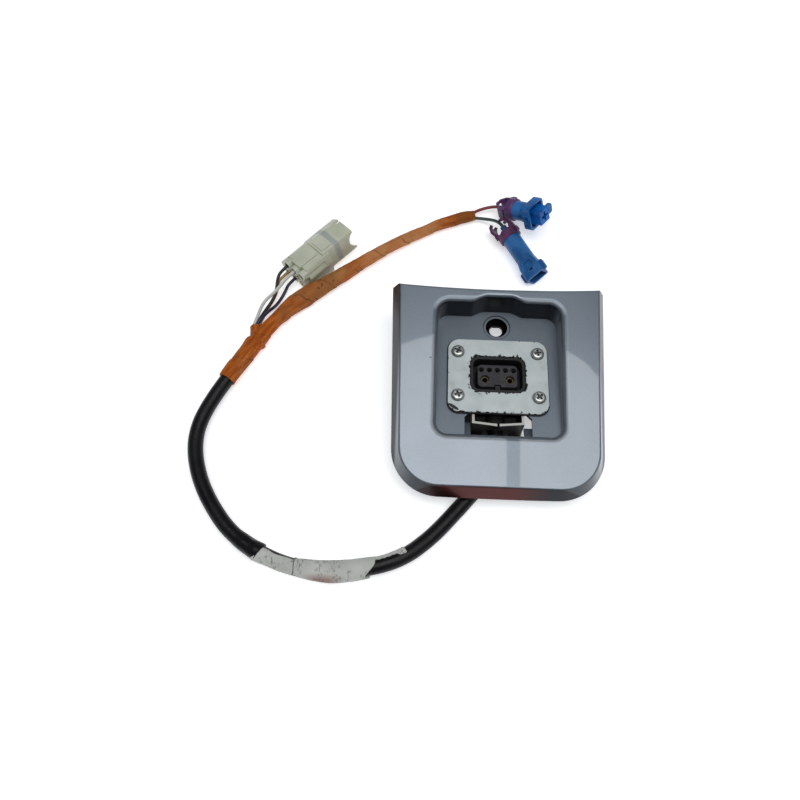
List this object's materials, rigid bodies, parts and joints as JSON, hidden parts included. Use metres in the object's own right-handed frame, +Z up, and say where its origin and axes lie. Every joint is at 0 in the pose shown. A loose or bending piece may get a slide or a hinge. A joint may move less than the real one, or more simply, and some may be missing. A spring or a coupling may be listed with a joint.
{
  "type": "wiring harness",
  "caption": "Wiring harness: a painted panel cover with a recessed multi-way socket and guarded cable, a taped loom, a sealed pin connector and small single-wire connectors with hinged flaps.",
  "frame": {"origin": "on the table, under the middle of the panel cover", "axes": "+Z up out of the socket, +X along the cover's width, +Y from the cable's outlet towards the fixing hole"},
  "size_m": [0.2497, 0.2697, 0.0398],
  "materials": {
    "silver_paint": "metallic paint on a moulded cover, worn at the edges",
    "grey_paint": "light grey paint on sheet steel, chipped at the edges",
    "black_rubber": "matte moulded rubber",
    "zinc_steel": "zinc plated",
    "black_plastic": "moulded, slightly grained",
    "dark_grey_plastic": "moulded",
    "tinned_copper": "tinned",
    "black_sheet": "black coating with bare top edges",
    "black_sleeve": "smooth sleeve with a slight sheen",
    "orange_tape": "spirally wound tape",
    "paper_tape": "crinkled paper tape",
    "natural_nylon": "translucent natural nylon",
    "pale_blue_rubber": "soft ribbed seal",
    "white_rubber": "soft ribbed seals",
    "pale_grey_wire": "wire insulation",
    "black_wire": "wire insulation",
    "violet_wire": "wire insulation",
    "yellow_wire": "wire insulation",
    "red_wire": "wire insulation",
    "green_wire": "wire insulation",
    "blue_plastic": "moulded",
    "bright_blue_plastic": "moulded",
    "blue_rubber": "soft ribbed seal",
    "purple_plastic": "moulded"
  },
  "bodies": {
    "harness": {"branch_tape": "orange_tape", "cable_boot": "black_rubber", "cable_guard": "black_sheet", "cable_sleeve": "black_sleeve", "clamp_plate": "grey_paint", "contact_insert": "dark_grey_plastic", "guard_rivets": "zinc_steel", "loom_tape": "orange_tape", "loom_tape_end": "orange_tape", "mouth_body": "blue_plastic", "mouth_holder": "purple_plastic", "mouth_pin": "tinned_copper", "mouth_seal": "pale_blue_rubber", "mouth_wire_seal": "blue_rubber", "panel_cover": "silver_paint", "paper_wrap": "paper_tape", "paper_wrap_end": "paper_tape", "plate_gasket": "black_rubber", "plate_screws": "zinc_steel", "plug_block": "bright_blue_plastic", "plug_body": "blue_plastic", "plug_holder": "purple_plastic", "plug_seal": "blue_rubber", "plug_terminal": "tinned_copper", "power_contacts": "tinned_copper", "pressed_nuts": "zinc_steel", "rear_shell": "black_plastic", "sealed_housing": "natural_nylon", "sealed_pins": "tinned_copper", "signal_contacts": "tinned_copper", "socket_body": "black_plastic", "socket_seal": "black_rubber", "wire_black": "black_wire", "wire_green": "green_wire", "wire_grey": "pale_grey_wire", "wire_red": "red_wire", "wire_seals": "white_rubber", "wire_violet": "violet_wire", "wire_yellow": "yellow_wire"},
    "mouth_flap_far_body": {"mouth_flap_far": "purple_plastic"},
    "mouth_flap_near_body": {"mouth_flap_near": "purple_plastic"},
    "plug_flap_far_body": {"plug_flap_far": "purple_plastic"},
    "plug_flap_near_body": {"plug_flap_near": "purple_plastic"}
  },
  "joints": [
    {"name": "plug_flap_far_hinge", "type": "hinge", "parent": "harness", "child": "plug_flap_far_body", "pos_m": [0.01534, 0.15151, 0.00895], "axis": [0.2901, -0.3418, -0.8939], "range_deg": [0, 45]},
    {"name": "plug_flap_near_hinge", "type": "hinge", "parent": "harness", "child": "plug_flap_near_body", "pos_m": [0.00785, 0.1422, 0.01007], "axis": [-0.2901, 0.3418, 0.8939], "range_deg": [0, 45]},
    {"name": "mouth_flap_far_hinge", "type": "hinge", "parent": "harness", "child": "mouth_flap_far_body", "pos_m": [0.01362, 0.12902, 0.01326], "axis": [0.5492, 0.3477, -0.7599], "range_deg": [-6, 9]},
    {"name": "mouth_flap_near_hinge", "type": "hinge", "parent": "harness", "child": "mouth_flap_near_body", "pos_m": [0.00558, 0.12469, 0.00547], "axis": [-0.5492, -0.3477, 0.7599], "range_deg": [-30, 8]}
  ]
}
